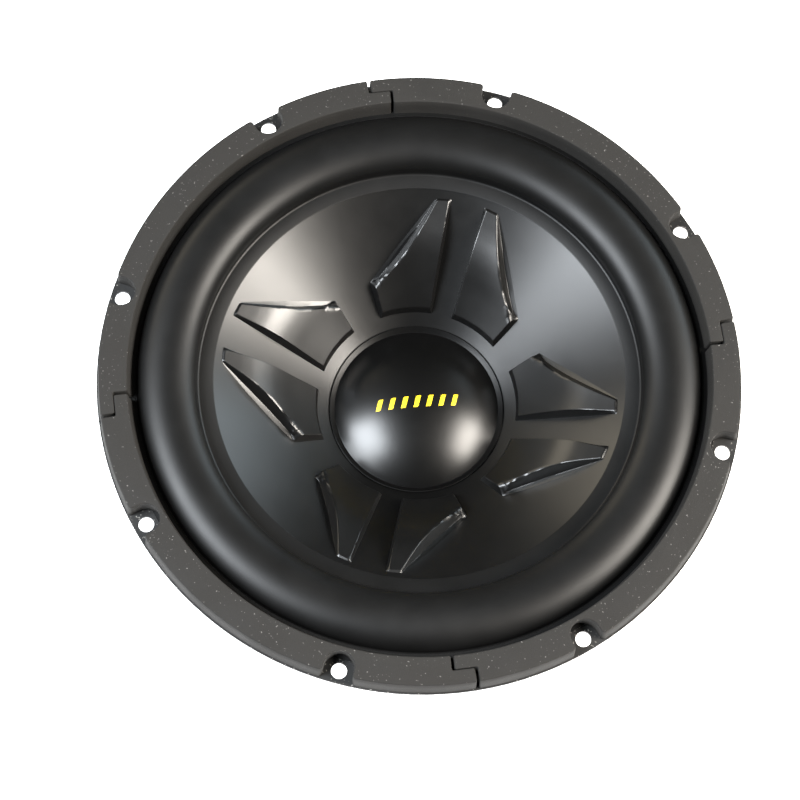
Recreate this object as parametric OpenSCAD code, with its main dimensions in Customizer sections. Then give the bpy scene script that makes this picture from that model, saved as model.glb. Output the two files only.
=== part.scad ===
// Twelve-inch car subwoofer: pressed frame, quartered trim gasket, bladed cone,
// vented motor and a push-button terminal block.
// +Z is the way the speaker faces, and z = 0 is the rear face of the mounting flange.

/* [Frame] */
// Outer diameter of the mounting flange
flange_d = 312; // [250:1:400]
// Thickness of the frame's sheet steel
sheet_t = 1.6; // [1.2:0.1:2.5]
// Diameter of the bolt circle, in from the flange's edge by this much
bolt_edge = 12; // [10:0.5:16]
// Diameter of the bolt holes
bolt_hole_d = 7.4; // [5:0.1:8]
// Depth from the flange's rear face to the rear face of the frame's floor
floor_depth = 90; // [84:1:110]
// Width of each spoke
spoke_w = 20; // [14:1:24]
// Inner radius of the shelf that carries the spider
shelf_in_r = 76; // [70:1:80]
// Width of that shelf
shelf_w = 12; // [8:1:16]

/* [Trim gasket] */
// Thickness of the gasket
gasket_t = 11; // [8:0.5:14]
// Width of its front face
gasket_w = 13.5; // [12:0.5:16]
// Slope of its walls, outwards and inwards, over its thickness
gasket_draft = 1.4; // [0.5:0.1:2]
// Width of a bolt notch
notch_w = 14.4; // [12:0.2:16]
// Width of the gap at each stepped joint
joint_gap = 1.4; // [0.4:0.1:2.5]

/* [Surround] */
// Width of the half roll
roll_w = 28.5; // [22:0.5:32]
// Height of the half roll above the flange's front face
roll_h = 10; // [7:0.5:12]
// Thickness of the surround's rubber
roll_t = 1; // [0.8:0.1:1.4]
// Width of the lip glued on the cone
lip_w = 8; // [6:0.5:10]
// Width of the lip glued on the flange
outer_lip_w = 8; // [6:0.5:9]

/* [Cone] */
// Height of the cone's rim below the flange's rear face
rim_drop = 3.4; // [2:0.1:5]
// Thickness of the cone, square to its surface
cone_t = 1.4; // [1:0.1:2]
// Depth of the cone from its rim to its neck
cone_depth = 62; // [54:1:66]
// Radius of the dust cap's dome
cap_r = 41.3; // [36:0.1:46]
// Width of the dust cap's conical rim
cap_rim_w = 2.7; // [2:0.1:4]
// Height of the dome
cap_h = 13; // [9:0.5:18]
// Thickness of the dust cap
cap_t = 0.9; // [0.6:0.1:1.4]
// Distance from the axis to the inner ends of the blades
blade_in_r = 50; // [47:0.5:54]
// Height of a blade at its inner end
blade_h = 5; // [4:0.2:10]
// Height of a blade at its ridge
ridge_h = 9; // [5:0.5:12]
// Half the gap between the two blades of a pair, at their inner ends
blade_gap = 5; // [3:0.5:7]

/* [Motor] */
// Diameter of the pole
pole_d = 48.4; // [44:0.2:56]
// Clearance between the pole and the coil former
former_gap = 0.7; // [0.4:0.1:1]
// Wall of the coil former
former_t = 0.4; // [0.3:0.1:0.6]
// Thickness of the winding
winding_t = 1.2; // [0.8:0.1:2]
// Height of the winding
winding_h = 24; // [16:1:30]
// Clearance between the winding and the top plate
plate_gap = 0.6; // [0.4:0.1:1]
// Thickness of the top plate
plate_t = 8; // [6:0.5:10]
// Diameter of the top plate
plate_d = 120; // [100:1:130]
// Diameter of the ferrite magnet
magnet_d = 145; // [124:1:160]
// Thickness of the ferrite magnet
magnet_t = 25; // [20:1:40]
// Thickness of the yoke's back plate
yoke_t = 8; // [6:0.5:12]
// Diameter of the vent through the pole
vent_d = 18; // [12:0.5:24]
// Wall of the rubber boot
boot_t = 2.5; // [1.5:0.1:4]
// Travel of the cone each way that the suspension allows
travel = 12; // [8:0.5:12]

/* [Terminals] */
// Length of the terminal block along the flange
block_l = 32; // [28:0.5:40]
// Height of the terminal block
block_h = 22; // [20:0.5:26]
// Distance of the block's front end behind the flange
block_drop = 30; // [28:0.5:34]
// Distance between the two push buttons
button_pitch = 17; // [14:0.5:19]
// Width of a push button
button_w = 8.4; // [7:0.1:9]
// Depth of a push button, in and out from the axis
button_d = 7.4; // [6:0.1:8]
// Travel of a push button
button_travel = 4; // [3:0.5:5]
// Diameter of a wire hole
wire_d = 4; // [3:0.1:4.5]

/* [Hidden] */
$fn = 64;
cut = 1;            // how far a cutting shape runs past what it cuts
bolts = 8;          // bolt holes, spokes and windows round the frame
pairs = 4;          // pairs of blades, and quarters of the gasket

// Radii, from the flange's edge inwards
flange_r = flange_d / 2;
bolt_r = flange_r - bolt_edge / 2;
gasket_out_r = flange_r - 0.6 - gasket_draft;
gasket_in_r = gasket_out_r - gasket_w;
gasket_mid_r = (gasket_out_r + gasket_in_r) / 2;
rim_in_r = gasket_in_r - gasket_draft - 1.6;
roll_out_r = rim_in_r - 1;
roll_in_r = roll_out_r - roll_w;
cone_r = roll_in_r - lip_w;
former_in_r = pole_d / 2 + former_gap;
former_out_r = former_in_r + former_t;
winding_r = former_out_r + winding_t;
plate_bore_r = winding_r + plate_gap;
neck_r = former_out_r + 1.2;

// Fits that several pieces share
glue_gap = 0.05;
lip_room = 0.3;
collar_t = 0.4;

// Heights
flange_top = sheet_t;
gasket_top = flange_top + gasket_t;
rim_z = -rim_drop;
surface_z = rim_z - 0.5;
neck_z = rim_z - cone_depth;
slope = (surface_z - neck_z) / (cone_r - neck_r);
wall_z = cone_t * sqrt(1 + slope * slope);
floor_z = -floor_depth;
plate_z = floor_z - plate_t;
gap_z = floor_z - plate_t / 2;
magnet_z = plate_z - magnet_t;
yoke_z = magnet_z - yoke_t;
boot_z = yoke_z - boot_t;
shelf_z = neck_z - 4.5;
spider_z = shelf_z + 0.4;
winding_z = gap_z - winding_h / 2;

function cone_z(r) = neck_z + slope * (r - neck_r);
function ring(r, a) = [r * cos(a), r * sin(a)];
// A ring of rectangular section
module tube(r_out, r_in, z, h) {
    translate([0, 0, z]) difference() {
        cylinder(r = r_out, h = h);
        translate([0, 0, -cut]) cylinder(r = r_in, h = h + 2 * cut);
    }
}

// ---- Frame
shelf_out_r = shelf_in_r + shelf_w;
pot_r = shelf_in_r - 8;
wall_top_z = -10;
window_top_z = -19;
window_low_z = shelf_z + 9;
screw_r = (plate_d / 2 + plate_bore_r) / 2 + 3;
screw_d = 5;
// Radius of the frame's wall, outside, at height z
function wall_r(z) = shelf_out_r + (rim_in_r - 2 - shelf_out_r) * (z - shelf_z) / (wall_top_z - shelf_z);
module window() {
    // half widths of the opening, low and high, from the spokes on each side
    low = wall_r(window_low_z) * sin(180 / bolts) - spoke_w / 2;
    high = wall_r(window_top_z) * sin(180 / bolts) - spoke_w / 2;
    translate([shelf_in_r, 0, 0]) rotate([90, 0, 90]) linear_extrude(flange_r)
        polygon([[-low, window_low_z], [low, window_low_z], [high, window_top_z], [-high, window_top_z]]);
}
module basket() {
    t = sheet_t;
    outer = [[flange_r, flange_top], [flange_r, 0], [rim_in_r + t, 0], [rim_in_r + t, wall_top_z + 2],
        [wall_r(wall_top_z) + 0.6, wall_top_z - 1], [shelf_out_r, shelf_z], [shelf_out_r, shelf_z - t],
        [shelf_in_r, shelf_z - t], [pot_r + t, floor_z], [plate_bore_r + 5, floor_z]];
    inner = [[plate_bore_r + 5, floor_z + t], [pot_r, floor_z + t], [shelf_in_r - t, shelf_z],
        [shelf_out_r - t, shelf_z], [shelf_out_r - t, shelf_z + t],
        [wall_r(wall_top_z) - t, wall_top_z], [rim_in_r, wall_top_z + 3], [rim_in_r, flange_top]];
    color("dimgray") difference() {
        rotate_extrude() polygon(concat(outer, inner));
        for (k = [0:bolts - 1]) rotate([0, 0, 360 / bolts * k]) {
            translate([bolt_r, 0, -cut]) cylinder(d = bolt_hole_d, h = flange_top + 2 * cut);
            rotate([0, 0, 180 / bolts]) window();
        }
        for (k = [0:3]) rotate([0, 0, 45 + 90 * k]) translate([screw_r, 0, floor_z - cut])
            cylinder(d = screw_d + 0.2, h = sheet_t + 2 * cut);
        rivet_holes();
    }
}
module plate_screws() {
    head_d = 9;
    color("silver") for (k = [0:3]) rotate([0, 0, 45 + 90 * k]) translate([screw_r, 0, 0]) {
        translate([0, 0, plate_z + 2]) cylinder(d = screw_d, h = plate_t + sheet_t - 2 + 0.1);
        translate([0, 0, floor_z + sheet_t]) difference() {
            cylinder(d = head_d, h = 2.6);
            translate([0, 0, 1]) cylinder(d = 4, h = 2, $fn = 6);
        }
    }
}

// ---- Trim gasket: the inner half of each joint is at inner_a, the outer half at outer_a
inner_a = 20.3;
outer_a = 24.4;
step_gap = 0.3;
module gasket_ring() {
    lip_r = roll_out_r + outer_lip_w + lip_room;
    rotate_extrude() polygon([[gasket_in_r - gasket_draft, flange_top + roll_t], [lip_r, flange_top + roll_t],
        [lip_r, flange_top], [gasket_out_r + gasket_draft, flange_top],
        [gasket_out_r, gasket_top], [gasket_in_r, gasket_top]]);
}
// The sector that one segment fills, seen along the axis
module segment_sector() {
    turn = 360 / pairs;
    slack = asin(joint_gap / 2 / gasket_mid_r);
    near_r = gasket_in_r / 2;
    far_r = flange_r * 2;
    high = gasket_mid_r + step_gap / 2;
    low = gasket_mid_r - step_gap / 2;
    polygon([ring(near_r, inner_a + slack), ring(low, inner_a + slack), ring(low, outer_a + slack),
        ring(far_r, outer_a + slack), ring(far_r, turn + outer_a - slack), ring(high, turn + outer_a - slack),
        ring(high, turn + inner_a - slack), ring(near_r, turn + inner_a - slack)]);
}
module gasket_segment(k) {
    color([0.33, 0.32, 0.31]) rotate([0, 0, 360 / pairs * k]) difference() {
        intersection() {
            gasket_ring();
            linear_extrude(gasket_top + cut) segment_sector();
        }
        for (a = [45, 90]) rotate([0, 0, a]) translate([bolt_r, 0, 0]) {
            translate([0, 0, -cut]) cylinder(d = notch_w, h = gasket_top + 2 * cut);
            translate([0, -notch_w / 2, -cut]) cube([bolt_edge, notch_w, gasket_top + 2 * cut]);
        }
    }
}

// ---- Surround: the roll is half an ellipse, on a short wall down to the cone's rim
roll_steps = 14;
module surround() {
    mid_r = (roll_in_r + roll_out_r) / 2;
    skin = [for (k = [0:roll_steps]) let (a = 180 - 180 * k / roll_steps)
        [mid_r + roll_w / 2 * cos(a), flange_top + roll_h * sin(a)]];
    under = [for (k = [roll_steps:-1:0]) let (a = 180 - 180 * k / roll_steps)
        [mid_r + (roll_w / 2 - roll_t) * cos(a), flange_top + (roll_h - roll_t) * sin(a)]];
    color([0.16, 0.16, 0.16]) rotate_extrude() polygon(concat(
        [[cone_r, rim_z], [cone_r, rim_z + roll_t], [roll_in_r, rim_z + roll_t]], skin,
        [[roll_out_r, flange_top + roll_t], [roll_out_r + outer_lip_w, flange_top + roll_t],
        [roll_out_r + outer_lip_w, flange_top], [roll_out_r - roll_t, flange_top]], under,
        [[roll_in_r + roll_t, rim_z]]));
}

// ---- Spider: a flat lip on the shelf, waves, and a flat lip on the collar
waves = 5;
wave_steps = 8;
wave_h = 1.6;
spider_t = 1;
spider_room = 1.4;
module spider() {
    r_in = former_out_r + collar_t + glue_gap;
    first = r_in + 5;
    last = shelf_in_r - sheet_t - spider_room;
    steps = waves * wave_steps;
    line = [for (k = [0:steps])
        [first + (last - first) * k / steps, spider_z + wave_h * sin(360 * k / wave_steps)]];
    out_r = shelf_out_r - sheet_t - lip_room;
    color([0.75, 0.62, 0.35]) rotate_extrude() polygon(concat(
        [[r_in, spider_z]], line, [[out_r, spider_z], [out_r, shelf_z], [last, shelf_z]],
        [for (k = [steps - 1:-1:1]) line[k] - [0, spider_t]], [[r_in, spider_z - spider_t]]));
}

// ---- Cone with its blades, and the dust cap
blade_out_r = cone_r - 2;
blade_span = 36.4;      // angle from the pair's middle to the blade's far corner
blade_corner = 15.7;    // how far the long side starts past the inner arc
blade_end_w = 16;       // distance of the long side's outer end from the pair's middle
blade_ridge = 0.5;      // share of the blade's length at which its ridge lies
blade_end_h = 0.6;
blade_lean = 38;        // lean of the long side's wall, from the axis
blade_foot = 1.1;       // height at which that wall starts to lean
blade_steps = 8;
blade_from = ring(blade_in_r + blade_corner, blade_span - 0.2);
blade_to = [blade_out_r - 2, blade_end_w];
module cone_shell() {
    rim_edge = roll_in_r - 1;
    rotate_extrude() polygon([[rim_edge, rim_z], [cone_r + 0.6, rim_z], [cone_r, surface_z], [neck_r, neck_z],
        [former_out_r + glue_gap, neck_z], [former_out_r + glue_gap, neck_z - wall_z],
        [neck_r, neck_z - wall_z], [cone_r, surface_z - wall_z], [rim_edge, rim_z - cone_t]]);
}
// Outline of one blade, seen along the axis, beside the X axis
module blade_outline() {
    near = asin(blade_gap / blade_in_r);
    polygon(concat(
        [for (k = [0:blade_steps]) ring(blade_in_r, near + (blade_span - near) * k / blade_steps)],
        [blade_from, blade_to, [blade_out_r - 0.6, blade_gap + 3.2]]));
}
// What the leaning wall of the long side cuts off, from the foot of that wall upwards
module blade_wall_cut() {
    way = blade_to - blade_from;
    low = cone_z(norm(blade_from)) + blade_foot;
    rise = cone_z(norm(blade_to)) + blade_foot - low;
    translate([blade_from[0], blade_from[1], low]) rotate([0, 0, atan2(way[1], way[0])])
        rotate([0, -atan(rise / norm(way)), 0]) rotate([blade_lean, 0, 0])
        translate([-cone_r / 2, 0, 0]) cube([2 * cone_r, cone_r / 2, cone_r / 2]);
}
module blades() {
    ridge_r = blade_in_r + (blade_out_r - blade_in_r) * blade_ridge;
    ridge_z = cone_z(ridge_r) + ridge_h;
    mid_r = (ridge_r + blade_out_r) / 2;
    fall = (ridge_z - cone_z(blade_in_r) - blade_h) / (ridge_r - blade_in_r);
    start_r = blade_in_r - 3;
    sunk = 0.5;
    for (k = [0:pairs - 1]) rotate([0, 0, 360 / pairs * k]) for (side = [0, 1]) mirror([0, side, 0])
        difference() {
            intersection() {
                translate([0, 0, neck_z]) linear_extrude(-neck_z) blade_outline();
                rotate_extrude() polygon([[start_r, cone_z(start_r) - sunk],
                    [blade_out_r, cone_z(blade_out_r) - sunk],
                    [blade_out_r, cone_z(blade_out_r) + blade_end_h],
                    [mid_r, cone_z(mid_r) + (ridge_h + blade_end_h) * 0.6], [ridge_r, ridge_z],
                    [start_r, ridge_z - fall * (ridge_r - start_r)]]);
            }
            blade_wall_cut();
        }
}
module cone() {
    color([0.2, 0.2, 0.2]) union() {
        cone_shell();
        blades();
    }
}
module dust_cap() {
    lift = cap_t * sqrt(1 + slope * slope);
    edge_r = cap_r + cap_rim_w;
    base_z = cone_z(cap_r) + lift;
    ball_r = (cap_r * cap_r + cap_h * cap_h) / (2 * cap_h);
    arc = asin(cap_r / ball_r);
    steps = 16;
    centre_z = base_z - ball_r * cos(arc);
    function dome_line(r, from, to) = [for (k = [from:sign(to - from):to]) let (a = arc * (1 - k / steps))
        [r * sin(a), centre_z + r * cos(a)]];
    color([0.12, 0.12, 0.12]) rotate_extrude() polygon(concat([[edge_r, cone_z(edge_r)],
        [edge_r, cone_z(edge_r) + lift]], dome_line(ball_r, 0, steps), dome_line(ball_r - cap_t, steps, 0),
        [[cap_r - 1, cone_z(cap_r - 1)]]));
}

// ---- Coil
module coil_former() {
    color("goldenrod") tube(former_out_r, former_in_r, winding_z - 1, neck_z + 3 - (winding_z - 1));
}
module former_collar() {
    low = winding_z + winding_h + 0.5;
    color("saddlebrown") tube(former_out_r + collar_t, former_out_r, low, neck_z - wall_z - 0.2 - low);
}
module voice_coil() {
    color("peru") tube(winding_r, former_out_r, winding_z, winding_h);
}

// ---- Motor
module top_plate() {
    color("silver") difference() {
        tube(plate_d / 2, plate_bore_r, plate_z, plate_t);
        for (k = [0:3]) rotate([0, 0, 45 + 90 * k]) translate([screw_r, 0, plate_z + 2])
            cylinder(d = screw_d, h = plate_t);
    }
}
module ferrite_magnet() {
    color([0.25, 0.25, 0.27]) tube(magnet_d / 2, plate_bore_r + 5, magnet_z, magnet_t);
}
screen_t = 1.2;
screen_r = vent_d / 2 + 5;
module yoke() {
    color("silver") difference() {
        union() {
            translate([0, 0, yoke_z]) cylinder(r = magnet_d / 2 - 2.5, h = yoke_t);
            translate([0, 0, magnet_z - cut]) cylinder(d = pole_d, h = floor_z + 2 - magnet_z + cut);
        }
        translate([0, 0, yoke_z - cut]) cylinder(d = vent_d, h = floor_depth);
        translate([0, 0, yoke_z - cut]) cylinder(r = screen_r, h = screen_t + cut);
    }
}
module vent_screen() {
    color([0.1, 0.1, 0.1]) difference() {
        translate([0, 0, yoke_z]) cylinder(r = screen_r - 0.1, h = screen_t);
        for (x = [-3:3], y = [-3:3]) if (norm([x, y]) < 3.2) translate([x * 2.6, y * 2.6, yoke_z - cut])
            cylinder(d = 1.6, h = screen_t + 2 * cut, $fn = 6);
    }
}
module magnet_boot() {
    in_r = magnet_d / 2 + 0.1;
    out_r = in_r + boot_t;
    yoke_r = magnet_d / 2 - 2.4;
    lip_z = plate_z - 3;
    boot_edge = 6;
    color([0.1, 0.1, 0.1]) rotate_extrude() polygon([[screen_r + 4, boot_z],
        [out_r - boot_edge, boot_z], [out_r, boot_z + boot_edge], [out_r, lip_z],
        [in_r, lip_z], [in_r, magnet_z], [yoke_r, magnet_z], [yoke_r, yoke_z],
        [screen_r + 4, yoke_z]]);
}

// ---- Terminal block, on the spoke at -Y; its back follows the frame's wall
block_top = -block_drop;
block_low = block_top - block_h;
block_out = wall_r(block_top) + sheet_t + 15;
pocket_top = block_top - 5;
pocket_low = pocket_top - 3;
button_y = -(block_out - 9);
fit_gap = 0.3;
button_x = [button_pitch / 2, -button_pitch / 2];
rivet_d = 3.2;
rivet_z = [block_top - 6, block_low + 6];
module rivet_holes() {
    for (z = rivet_z) translate([0, 0, z]) rotate([90, 0, 0]) cylinder(d = rivet_d, h = flange_r);
}
module block_rivets() {
    color("silver") for (z = rivet_z) translate([0, 0, z]) rotate([90, 0, 0]) {
        back = wall_r(z) - 7;
        translate([0, 0, back]) cylinder(d = rivet_d, h = block_out - back + 0.5);
        translate([0, 0, block_out]) cylinder(d = rivet_d + 2.8, h = 1.2);
    }
}
module terminal_block() {
    back_top = wall_r(block_top) + 1.2;
    back_low = wall_r(block_low) + 1.2;
    color([0.13, 0.13, 0.13]) difference() {
        translate([block_l / 2, 0, 0]) rotate([90, 0, -90]) linear_extrude(block_l)
            polygon([[back_top, block_top], [block_out, block_top], [block_out, block_low],
                [back_low, block_low]]);
        for (x = button_x) translate([x, button_y, 0]) {
            translate([-button_w / 2 - fit_gap, -button_d / 2 - fit_gap, block_low - cut])
                cube([button_w + 2 * fit_gap, button_d + 2 * fit_gap, pocket_top - block_low + cut]);
            translate([0, -button_d / 2, block_low + 5]) rotate([90, 0, 0]) cylinder(d = wire_d, h = 20);
        }
        for (x = button_x) translate([x, 0, 0]) contact_slot(fit_gap / 3);
        rivet_holes();
    }
}
contact_w = 5;
contact_t = 0.6;
contact_y = button_y + button_d / 2 + fit_gap;
lug_z = block_top + 2.8;
lug_hole_d = 1.4;
module contact_slot(room) {
    translate([-contact_w / 2 - room, contact_y, block_low + 4])
        cube([contact_w + 2 * room, contact_t + room, block_h]);
}
module contact(x) {
    color("gold") translate([x, 0, 0]) difference() {
        translate([-contact_w / 2, contact_y, block_low + 4.5])
            cube([contact_w, contact_t, lug_z - block_low - 4.5]);
        translate([0, contact_y - cut, lug_z - lug_hole_d]) rotate([-90, 0, 0])
            cylinder(d = lug_hole_d, h = contact_t + 2 * cut);
    }
}
button_low = block_low - button_travel - 2;
button_top = pocket_low - button_travel;
dish_r = 6;
module button(x) {
    difference() {
        translate([x - button_w / 2, button_y - button_d / 2, button_low])
            cube([button_w, button_d, button_top - button_low]);
        translate([x, button_y, block_low + 5 - button_travel]) rotate([90, 0, 0])
            cylinder(d = wire_d, h = button_d + 2 * cut, center = true);
        // finger dish in the pressing face
        translate([x, button_y, button_low - dish_r + 0.6]) rotate([90, 0, 0])
            cylinder(r = dish_r, h = button_d + 2 * cut, center = true);
    }
}
spring_r = 2.3;
spring_wire = 0.6;
spring_turns = 4;
// Tube of radius r round a row of points, with eight sides
module swept(path, r) {
    sides = 8;
    n = len(path);
    function dir(k) = let (d = path[min(k + 1, n - 1)] - path[max(k - 1, 0)]) d / norm(d);
    function side_a(k) = let (c = cross(dir(k), [0.31, 0.17, 0.93])) c / norm(c);
    points = [for (k = [0:n - 1]) let (u = side_a(k), v = cross(dir(k), u))
        for (s = [0:sides - 1]) path[k] + r * (cos(360 / sides * s) * u + sin(360 / sides * s) * v)];
    faces = concat([[for (s = [0:sides - 1]) s]],
        [for (k = [0:n - 2], s = [0:sides - 1]) let (a = k * sides, b = (s + 1) % sides)
            each [[a + s, a + sides + s, a + sides + b], [a + s, a + sides + b, a + b]]],
        [[for (s = [sides - 1:-1:0]) (n - 1) * sides + s]]);
    polyhedron(points, faces, convexity = 6);
}
module button_spring(x) {
    steps = 12 * spring_turns;
    low = button_top + spring_wire / 2 + 0.05;
    high = pocket_top - spring_wire / 2 - 0.05;
    color("silver") translate([x, button_y, 0])
        swept([for (k = [0:steps]) let (a = 360 * k / 12)
            [spring_r * cos(a), spring_r * sin(a), low + (high - low) * k / steps]], spring_wire / 2);
}

// ---- Tinsel leads, from the contacts through the windows to the anchors on the cone
anchor_x = 7;
anchor_y = -38;
lead_d = 2;
// Route of the lead on the +X side, chosen by hand
lead_route = [[8.5, -124.6, -28.4], [8.9, -125, -26.6], [10.4, -125.2, -25.2], [12.6, -124, -24.9],
    [14.4, -121, -26.4], [15.4, -116, -29.8], [15.8, -110, -34], [15.6, -103, -39.2], [15, -94, -46],
    [14, -85, -52], [12.6, -76, -56.5], [11, -67, -59.6], [9.6, -59, -61.4], [8.5, -52, -62.4],
    [7.8, -46, -62.8], [7.6, -41.6, -61.4], [7.2, -39, -58.3]];
function mid_points(p) = [for (k = [0:2 * len(p) - 2]) k % 2 == 0 ? p[k / 2] :
    let (i = floor(k / 2), a = p[max(i - 1, 0)], b = p[i], c = p[i + 1], d = p[min(i + 2, len(p) - 1)])
    (9 * b + 9 * c - a - d) / 16];
module tinsel_lead(side) {
    color([0.75, 0.45, 0.25]) swept([for (p = mid_points(lead_route)) [side * p[0], p[1], p[2]]], lead_d / 2);
}
// Two pads that stand square on the back of the cone
module lead_anchors() {
    r = norm([anchor_x, anchor_y]);
    color("silver") for (side = [1, -1]) rotate([0, 0, atan2(anchor_y, side * anchor_x)])
        translate([r, 0, cone_z(r) - wall_z]) rotate([0, 180 - atan(slope), 0]) cylinder(r = 2.4, h = 1.4);
}

basket();
gasket_segment(0);  // gasket_segment_1
gasket_segment(1);  // gasket_segment_2
gasket_segment(2);  // gasket_segment_3
gasket_segment(3);  // gasket_segment_4
surround();
spider();
cone();
dust_cap();
coil_former();
former_collar();
voice_coil();
top_plate();
ferrite_magnet();
yoke();
plate_screws();
magnet_boot();
vent_screen();
terminal_block();
color("firebrick") button(button_x[0]);  // red_button
color([0.1, 0.1, 0.1]) button(button_x[1]);  // black_button
button_spring(button_x[0]);  // red_spring
button_spring(button_x[1]);  // black_spring
contact(button_x[0]);  // red_contact
contact(button_x[1]);  // black_contact
block_rivets();
tinsel_lead(1);  // red_tinsel_lead
tinsel_lead(-1);  // black_tinsel_lead
lead_anchors();
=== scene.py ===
# Looks of a twelve-inch car subwoofer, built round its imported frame. Lengths in the tables are millimetres.
import bpy
import bmesh
import math
import numpy as np
from mathutils import Matrix, Vector


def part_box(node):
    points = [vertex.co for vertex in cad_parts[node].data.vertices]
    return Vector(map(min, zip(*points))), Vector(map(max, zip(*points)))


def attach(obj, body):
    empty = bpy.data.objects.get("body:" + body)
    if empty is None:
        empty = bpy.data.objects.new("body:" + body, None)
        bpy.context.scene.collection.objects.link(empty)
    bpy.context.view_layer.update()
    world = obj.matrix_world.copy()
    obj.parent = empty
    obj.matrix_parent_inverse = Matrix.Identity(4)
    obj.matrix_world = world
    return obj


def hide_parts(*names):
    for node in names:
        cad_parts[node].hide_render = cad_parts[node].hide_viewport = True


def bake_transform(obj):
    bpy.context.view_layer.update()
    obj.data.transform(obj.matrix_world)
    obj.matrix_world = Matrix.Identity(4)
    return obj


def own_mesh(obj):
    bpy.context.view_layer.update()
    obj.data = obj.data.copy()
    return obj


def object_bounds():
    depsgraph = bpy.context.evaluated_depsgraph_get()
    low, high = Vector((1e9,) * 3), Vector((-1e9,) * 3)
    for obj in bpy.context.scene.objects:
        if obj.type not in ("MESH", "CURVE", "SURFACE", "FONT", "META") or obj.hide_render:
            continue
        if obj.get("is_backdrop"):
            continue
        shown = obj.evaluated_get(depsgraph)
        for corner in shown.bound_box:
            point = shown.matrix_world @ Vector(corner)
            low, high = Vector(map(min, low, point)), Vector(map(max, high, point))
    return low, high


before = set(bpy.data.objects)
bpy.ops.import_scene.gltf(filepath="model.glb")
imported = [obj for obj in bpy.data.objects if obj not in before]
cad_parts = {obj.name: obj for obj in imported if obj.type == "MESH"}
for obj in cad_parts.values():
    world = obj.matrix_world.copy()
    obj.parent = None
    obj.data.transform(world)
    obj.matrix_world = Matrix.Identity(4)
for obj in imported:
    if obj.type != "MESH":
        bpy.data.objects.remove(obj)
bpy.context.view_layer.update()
mm = 0.001


def corners(node):
    # lowest and highest corners of a CAD node, in millimetres
    low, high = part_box(node)
    return np.array(low) / mm, np.array(high) / mm


# camera
cameraSettings = {
    "lens": 98.8,  # on a 36 mm sensor
    "distance": 1052.0,  # from the middle of the gasket's front face
    "tilt": 18.36,  # lean from the speaker's axis
    "roll": -5.09,
    "spin": 9.85,  # turn of the speaker under the camera
    "offsetX": 0.00959,  # where that middle lies off the view's centre, as a share of the distance
    "offsetY": 0.01479,
}


def turnX(degrees):
    # rotation by the given angle about X
    c, s = math.cos(math.radians(degrees)), math.sin(math.radians(degrees))
    return np.array([[1, 0, 0], [0, c, -s], [0, s, c]])


def turnZ(degrees):
    # rotation by the given angle about Z
    c, s = math.cos(math.radians(degrees)), math.sin(math.radians(degrees))
    return np.array([[c, -s, 0], [s, c, 0], [0, 0, 1]])


def placeCamera(settings):
    # world to camera is roll * tilt * spin; the camera stands so that the gasket's middle sits at the offset
    gasketTop = corners("gasket_segment_1")[1][2]
    worldToCamera = turnZ(settings["roll"]) @ turnX(-settings["tilt"]) @ turnZ(-settings["spin"])
    toMiddle = np.array([settings["offsetX"], settings["offsetY"], -1.0])
    toMiddle *= settings["distance"] / np.linalg.norm(toMiddle)
    place = np.array([0, 0, gasketTop]) - worldToCamera.T @ toMiddle
    data = bpy.data.cameras.new("camera")
    data.sensor_width = 36
    data.lens = settings["lens"]
    data.clip_end = 100
    camera = bpy.data.objects.new("camera", data)
    bpy.context.scene.collection.objects.link(camera)
    matrix = Matrix(worldToCamera.T.tolist()).to_4x4()
    matrix.translation = Vector((place * mm).tolist())
    camera.matrix_world = matrix
    bpy.context.scene.camera = camera


placeCamera(cameraSettings)
print("camera placed")


# mesh tools
def rounded(points, radii, steps=4):
    # closed outline in the plane: each corner of radius r becomes an arc that touches both its sides
    points = np.array(points, float)
    radii = np.broadcast_to(radii, len(points))
    out = []
    for k, radius in enumerate(radii):
        here, before, after = points[k], points[k - 1], points[(k + 1) % len(points)]
        a, b = before - here, after - here
        la, lb = np.linalg.norm(a), np.linalg.norm(b)
        a, b = a / la, b / lb
        half = math.acos(float(np.clip(a @ b, -1, 1))) / 2
        if radius <= 0 or half > 1.55 or half < 0.02:
            out.append(here[None])
            continue
        run = min(radius / math.tan(half), 0.45 * la, 0.45 * lb)
        radius = run * math.tan(half)
        centre = here + (a + b) / np.linalg.norm(a + b) * radius / math.sin(half)
        first, last = here + a * run - centre, here + b * run - centre
        t = np.linspace(0, 1, steps + 1)[:, None]
        arc = first * (1 - t) + last * t
        arc *= radius / np.linalg.norm(arc, axis=1)[:, None]
        out.append(centre + arc)
    return np.concatenate(out)


def dense(points, step, closed=True):
    # outline with long sides cut into pieces no longer than step
    points = np.array(points, float)
    ends = np.roll(points, -1, axis=0) if closed else points[1:]
    out = []
    for a, b in zip(points, ends):
        n = max(1, int(np.ceil(np.linalg.norm(b - a) / step)))
        out.append(a + (b - a) * (np.arange(n) / n)[:, None])
    return np.concatenate(out if closed else out + [points[-1:]])


def outward(points, closed=True):
    # unit normals of a line in the plane, to the right of its run
    points = np.array(points, float)
    run = np.roll(points, -1, axis=0) - np.roll(points, 1, axis=0)
    if not closed:
        run[0], run[-1] = points[1] - points[0], points[-1] - points[-2]
    normal = np.stack([run[:, 1], -run[:, 0]], axis=1)
    return normal / np.maximum(np.linalg.norm(normal, axis=1), 1e-9)[:, None]


def thickened(line, thickness):
    # closed profile: the line, and the line moved by the thickness to its right, back again
    return np.concatenate([line, (line + outward(line, False) * thickness)[::-1]])


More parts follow.
